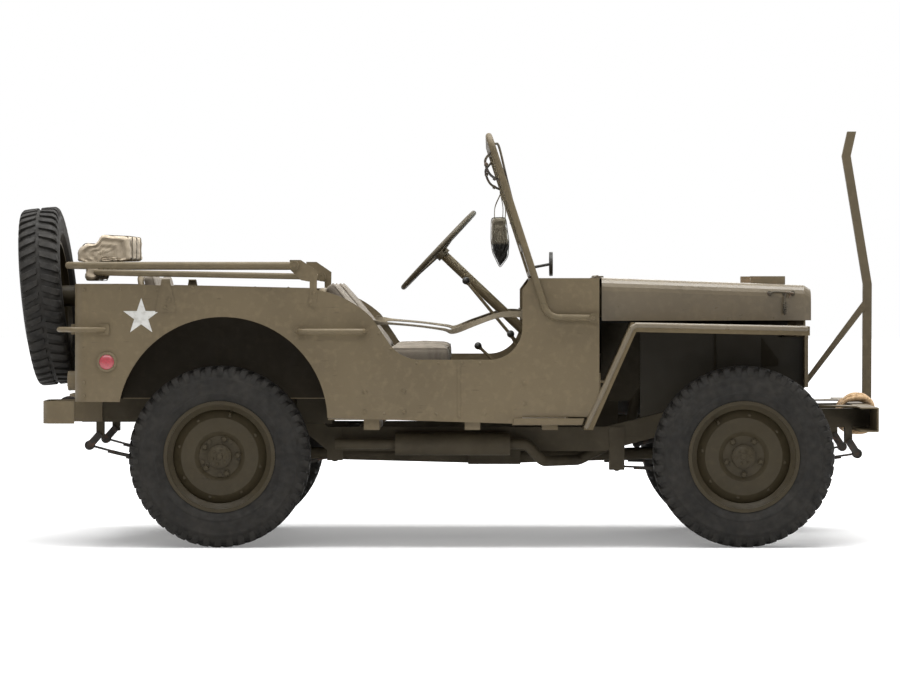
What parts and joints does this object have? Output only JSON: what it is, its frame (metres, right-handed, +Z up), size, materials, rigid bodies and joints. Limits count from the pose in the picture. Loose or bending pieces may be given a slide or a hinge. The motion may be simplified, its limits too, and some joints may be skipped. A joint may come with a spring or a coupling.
{
  "type": "army 4x4 car",
  "caption": "Open army 4x4 car with a folding windshield, folded canvas top on bows, spare wheel, tow rope and wire cutter.",
  "frame": {"origin": "on the ground under the middle of the whole car's bounding box", "axes": "+X forward, +Y to the car's left, +Z up"},
  "size_m": [3.4016, 1.574, 1.636],
  "materials": {
    "olive_paint": "matt",
    "chassis_paint": "satin",
    "tyre_rubber": "matt",
    "canvas": "matt",
    "glass": "gloss",
    "wood": "matt",
    "rope": "matt",
    "black_metal": "satin",
    "iron": "matt",
    "spring_steel": "satin",
    "lamp_metal": "satin"
  },
  "bodies": {
    "chassis": {"chassis_frame": "chassis_paint", "front_bumper": "olive_paint", "rear_bumperettes": "olive_paint", "pintle_hook": "iron", "wire_cutter": "olive_paint", "leaf_springs": "spring_steel", "front_axle": "chassis_paint", "rear_axle": "chassis_paint", "steering_column": "olive_paint", "engine": "iron", "drive_train": "iron", "exhaust": "iron", "radiator": "black_metal", "fuel_tank": "olive_paint", "floor_pan": "olive_paint", "side_panel_left": "olive_paint", "side_panel_right": "olive_paint", "rear_panel": "olive_paint", "wheel_housings": "olive_paint", "cowl": "olive_paint", "instrument_panel": "olive_paint", "grille": "olive_paint", "headlamps": "lamp_metal", "front_fenders": "olive_paint", "body_brackets": "olive_paint", "body_grips": "olive_paint", "seat_frames": "olive_paint", "seat_cushions": "canvas", "controls": "black_metal", "rear_lamps": "lamp_metal", "safety_strap": "canvas", "rope_coil": "rope", "spare_tyre": "tyre_rubber", "spare_wheel": "olive_paint"},
    "knuckle_right": {"knuckle_right": "chassis_paint"},
    "knuckle_left": {"knuckle_left": "chassis_paint"},
    "tie_rod": {"tie_rod": "black_metal"},
    "bell_crank": {"bell_crank": "iron"},
    "drag_link": {"drag_link": "black_metal"},
    "pitman_arm": {"pitman_arm": "iron"},
    "steering_wheel": {"steering_wheel": "black_metal"},
    "windshield": {"windshield_frame": "olive_paint", "windshield_glass": "glass", "mirror": "black_metal", "windshield_pouch": "canvas"},
    "hood": {"hood": "olive_paint", "hood_blocks": "wood"},
    "top_bow_front": {"top_bow_front": "olive_paint", "canvas_roll": "canvas"},
    "top_bow_rear": {"top_bow_rear": "olive_paint"},
    "wheel_front_right": {"tyre_front_right": "tyre_rubber", "wheel_front_right": "olive_paint"},
    "wheel_front_left": {"tyre_front_left": "tyre_rubber", "wheel_front_left": "olive_paint"},
    "wheel_rear_right": {"tyre_rear_right": "tyre_rubber", "wheel_rear_right": "olive_paint"},
    "wheel_rear_left": {"tyre_rear_left": "tyre_rubber", "wheel_rear_left": "olive_paint"}
  },
  "joints": [
    {"name": "steer_right", "type": "hinge", "parent": "chassis", "child": "knuckle_right", "pos_m": [1.14479, -0.5, 0.352], "axis": [0, 0, 1], "range_deg": [-26, 26]},
    {"name": "steer_left", "type": "hinge", "parent": "chassis", "child": "knuckle_left", "pos_m": [1.14479, 0.5, 0.352], "axis": [0, 0, 1], "range_deg": [-26, 26]},
    {"name": "tie_rod_pivot", "type": "hinge", "parent": "knuckle_right", "child": "tie_rod", "pos_m": [1.30979, -0.5, 0.4213], "axis": [0, 0, 1], "range_deg": [-26, 26]},
    {"name": "bell_crank_pivot", "type": "hinge", "parent": "chassis", "child": "bell_crank", "pos_m": [1.14479, 0.09, 0.442], "axis": [0, 0, 1], "range_deg": [-26, 26]},
    {"name": "drag_link_pivot", "type": "hinge", "parent": "bell_crank", "child": "drag_link", "pos_m": [1.14479, 0.215, 0.462], "axis": [0, 0, 1], "range_deg": [-26, 26]},
    {"name": "pitman_pivot", "type": "hinge", "parent": "chassis", "child": "pitman_arm", "pos_m": [0.76779, 0.436, 0.51], "axis": [0, 1, 0], "range_deg": [-22, 22]},
    {"name": "steering_wheel_spin", "type": "hinge", "parent": "chassis", "child": "steering_wheel", "pos_m": [-0.05121, 0.4, 1.1606], "axis": [-0.7268, 0, 0.6868], "range_deg": [-364, 364]},
    {"name": "windshield_fold", "type": "hinge", "parent": "chassis", "child": "windshield", "pos_m": [0.55779, 0, 0.89], "axis": [0, -1, 0], "range_deg": [-106.5, 0]},
    {"name": "hood_hinge", "type": "hinge", "parent": "chassis", "child": "hood", "pos_m": [0.58479, 0, 1.05], "axis": [0, -1, 0], "range_deg": [0, 100]},
    {"name": "top_bow_front_pivot", "type": "hinge", "parent": "chassis", "child": "top_bow_front", "pos_m": [-0.59421, 0, 1.093], "axis": [0, 1, 0], "range_deg": [0, 125]},
    {"name": "top_bow_rear_pivot", "type": "hinge", "parent": "chassis", "child": "top_bow_rear", "pos_m": [-0.54721, 0, 1.05], "axis": [0, 1, 0], "range_deg": [0, 57]},
    {"name": "wheel_front_right_spin", "type": "hinge", "parent": "knuckle_right", "child": "wheel_front_right", "pos_m": [1.14479, -0.6225, 0.352], "axis": [0, 1, 0], "continuous": true},
    {"name": "wheel_front_left_spin", "type": "hinge", "parent": "knuckle_left", "child": "wheel_front_left", "pos_m": [1.14479, 0.6225, 0.352], "axis": [0, 1, 0], "continuous": true},
    {"name": "wheel_rear_right_spin", "type": "hinge", "parent": "chassis", "child": "wheel_rear_right", "pos_m": [-0.88721, -0.6225, 0.352], "axis": [0, 1, 0], "continuous": true},
    {"name": "wheel_rear_left_spin", "type": "hinge", "parent": "chassis", "child": "wheel_rear_left", "pos_m": [-0.88721, 0.6225, 0.352], "axis": [0, 1, 0], "continuous": true}
  ],
  "couplings": [
    {"joint": "steer_left", "follows": "steer_right", "ratio": 1},
    {"joint": "tie_rod_pivot", "follows": "steer_right", "ratio": -1},
    {"joint": "bell_crank_pivot", "follows": "steer_right", "ratio": 1},
    {"joint": "drag_link_pivot", "follows": "steer_right", "ratio": -1},
    {"joint": "pitman_pivot", "follows": "steer_right", "ratio": 0.82},
    {"joint": "steering_wheel_spin", "follows": "steer_right", "ratio": 14},
    {"joint": "top_bow_rear_pivot", "follows": "top_bow_front_pivot", "ratio": 0.45}
  ]
}
